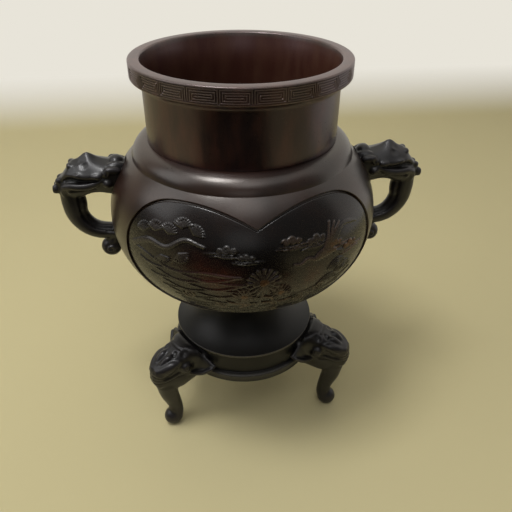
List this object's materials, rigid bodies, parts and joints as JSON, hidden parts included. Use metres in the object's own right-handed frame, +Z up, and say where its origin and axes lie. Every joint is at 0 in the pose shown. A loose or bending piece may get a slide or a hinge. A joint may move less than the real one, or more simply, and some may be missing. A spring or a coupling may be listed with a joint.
{
  "type": "flower vase",
  "caption": "Dark patinated bronze flower vase with a round belly, heart-shaped relief panels and beast-head loop handles, set on a loose ring stand with beast-mask legs.",
  "frame": {"origin": "on the floor, on the vase's turning axis, midway between the feet", "axes": "+Z up along the vase's axis, +X towards the right handle, -Y towards the front panel"},
  "size_m": [0.3022, 0.2164, 0.3348],
  "materials": {
    "body_bronze": "brown patinated bronze, satin, waxed",
    "panel_bronze": "charcoal patinated bronze, matt, cast relief",
    "foot_bronze": "black patinated bronze, satin, edges rubbed bright",
    "beast_bronze": "black patinated cast bronze, worn on the high points",
    "rivet_bronze": "plain bronze, dull"
  },
  "bodies": {
    "stand": {"stand_ring": "foot_bronze", "leg_left": "beast_bronze", "leg_right": "beast_bronze", "leg_rear": "beast_bronze", "leg_rivets": "rivet_bronze"},
    "vase": {"neck": "body_bronze", "body": "body_bronze", "panel_front": "panel_bronze", "panel_back": "panel_bronze", "bottom_plate": "rivet_bronze", "foot": "foot_bronze", "handle_left": "beast_bronze", "handle_right": "beast_bronze", "handle_rivets": "rivet_bronze"}
  },
  "joints": [
    {"name": "vase_lift", "type": "slide", "parent": "stand", "child": "vase", "axis": [0, 0, 1], "range_m": [0, 0.06]}
  ]
}
